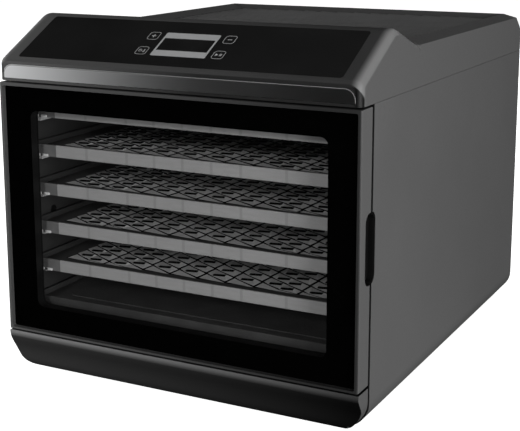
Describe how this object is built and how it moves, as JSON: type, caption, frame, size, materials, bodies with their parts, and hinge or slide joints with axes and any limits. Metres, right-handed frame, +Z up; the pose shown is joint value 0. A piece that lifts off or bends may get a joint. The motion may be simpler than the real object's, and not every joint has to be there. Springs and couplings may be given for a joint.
{
  "type": "food dehydrator",
  "caption": "Cabinet food dehydrator with a side-hinged glass door, slide-in trays, a sloping control panel and a rear fan with heater.",
  "frame": {"origin": "on the surface that the feet stand on, under the middle of the overall box", "axes": "+X to the right seen from the front, +Y to the back, +Z up"},
  "size_m": [0.345, 0.45, 0.3247],
  "materials": {
    "case_shell": "satin dark grey, very fine texture",
    "hood_plastic": "satin dark grey moulding",
    "door_plastic": "satin dark grey moulding",
    "black_plastic": "matt black moulding",
    "base_gloss": "gloss black moulding",
    "bright_trim": "dark bright strip, polished",
    "grille_plastic": "matt dark grey moulding with ribs",
    "rubber": "soft black rubber",
    "screw_steel": "plated steel",
    "overlay_gloss": "gloss black control sheet",
    "display_silver": "satin silver frame",
    "display_dark": "dark display window",
    "key_gloss": "gloss black key with pale outline",
    "circuit_board": "green circuit board",
    "door_glass": "tinted tempered glass",
    "mask_print": "black border printed on the glass",
    "magnet": "ferrite magnet",
    "sheet_steel": "zinc-plated sheet steel",
    "bush_brass": "sintered bush",
    "pin_steel": "turned steel",
    "liner_plastic": "dark grey moulded liner",
    "clip_plastic": "pale grey moulded stop",
    "tray_plastic": "smoky translucent grey moulding",
    "motor_steel": "plated steel can",
    "mica": "mica sheet",
    "heater_steel": "sheathed heating ring"
  },
  "bodies": {
    "case": {"side_panel_left": "case_shell", "side_panel_right": "case_shell", "bottom_plate": "sheet_steel", "front_frame": "black_plastic", "base_front": "base_gloss", "hood": "hood_plastic", "hood_underplate": "black_plastic", "hood_front_trim": "bright_trim", "top_grille": "grille_plastic", "rear_panel": "case_shell", "rear_vent_cover": "grille_plastic", "cord_gland": "rubber", "feet": "rubber", "case_screws": "screw_steel", "screw_caps": "case_shell", "pull_recess_cup": "black_plastic", "control_overlay": "overlay_gloss", "display_bezel": "display_silver", "display_lens": "display_dark", "display_module": "display_dark", "control_board": "circuit_board", "tact_switches": "black_plastic", "board_standoffs": "black_plastic", "catch_plates": "sheet_steel", "hinge_pins": "pin_steel", "hinge_brackets": "sheet_steel", "liner_left": "liner_plastic", "liner_right": "liner_plastic", "rail_clips": "clip_plastic", "liner_floor": "liner_plastic", "liner_top": "liner_plastic", "cavity_back_grille": "liner_plastic", "fan_motor": "motor_steel", "motor_bracket": "sheet_steel", "fan_shroud": "sheet_steel", "heater_frame": "mica", "heating_rings": "heater_steel", "thermal_cutout": "black_plastic", "temperature_sensor": "pin_steel", "power_board": "circuit_board"},
    "door": {"door_frame": "door_plastic", "door_glass": "door_glass", "door_mask": "mask_print", "door_inner_frame": "black_plastic", "door_seal": "rubber", "door_magnets": "magnet", "hinge_bushes": "bush_brass"},
    "fan": {"fan_wheel": "black_plastic", "motor_shaft": "pin_steel"},
    "key_plus": {"key_plus": "key_gloss"},
    "key_temp_time": {"key_temp_time": "key_gloss"},
    "key_minus": {"key_minus": "key_gloss"},
    "key_start_stop": {"key_start_stop": "key_gloss"},
    "tray_1": {"tray_1": "tray_plastic"},
    "tray_2": {"tray_2": "tray_plastic"},
    "tray_3": {"tray_3": "tray_plastic"},
    "tray_4": {"tray_4": "tray_plastic"},
    "tray_5": {"tray_5": "tray_plastic"},
    "tray_6": {"tray_6": "tray_plastic"}
  },
  "joints": [
    {"name": "door_hinge", "type": "hinge", "parent": "case", "child": "door", "pos_m": [-0.1645, -0.214, 0.15555], "axis": [0, 0, -1], "range_deg": [0, 105]},
    {"name": "fan_spin", "type": "hinge", "parent": "case", "child": "fan", "pos_m": [0, 0.137, 0.156], "axis": [0, 1, 0], "continuous": true},
    {"name": "key_plus_press", "type": "slide", "parent": "case", "child": "key_plus", "axis": [0, 0.4706, -0.8824], "range_m": [0, 0.0005], "stiffness_N_per_m": 3000},
    {"name": "key_temp_time_press", "type": "slide", "parent": "case", "child": "key_temp_time", "axis": [0, 0.4706, -0.8824], "range_m": [0, 0.0005], "stiffness_N_per_m": 3000},
    {"name": "key_minus_press", "type": "slide", "parent": "case", "child": "key_minus", "axis": [0, 0.4706, -0.8824], "range_m": [0, 0.0005], "stiffness_N_per_m": 3000},
    {"name": "key_start_stop_press", "type": "slide", "parent": "case", "child": "key_start_stop", "axis": [0, 0.4706, -0.8824], "range_m": [0, 0.0005], "stiffness_N_per_m": 3000},
    {"name": "tray_1_slide", "type": "slide", "parent": "case", "child": "tray_1", "axis": [0, -1, 0], "range_m": [0, 0.004]},
    {"name": "tray_2_slide", "type": "slide", "parent": "case", "child": "tray_2", "axis": [0, -1, 0], "range_m": [0, 0.004]},
    {"name": "tray_3_slide", "type": "slide", "parent": "case", "child": "tray_3", "axis": [0, -1, 0], "range_m": [0, 0.004]},
    {"name": "tray_4_slide", "type": "slide", "parent": "case", "child": "tray_4", "axis": [0, -1, 0], "range_m": [0, 0.004]},
    {"name": "tray_5_slide", "type": "slide", "parent": "case", "child": "tray_5", "axis": [0, -1, 0], "range_m": [0, 0.004]},
    {"name": "tray_6_slide", "type": "slide", "parent": "case", "child": "tray_6", "axis": [0, -1, 0], "range_m": [0, 0.004]}
  ]
}
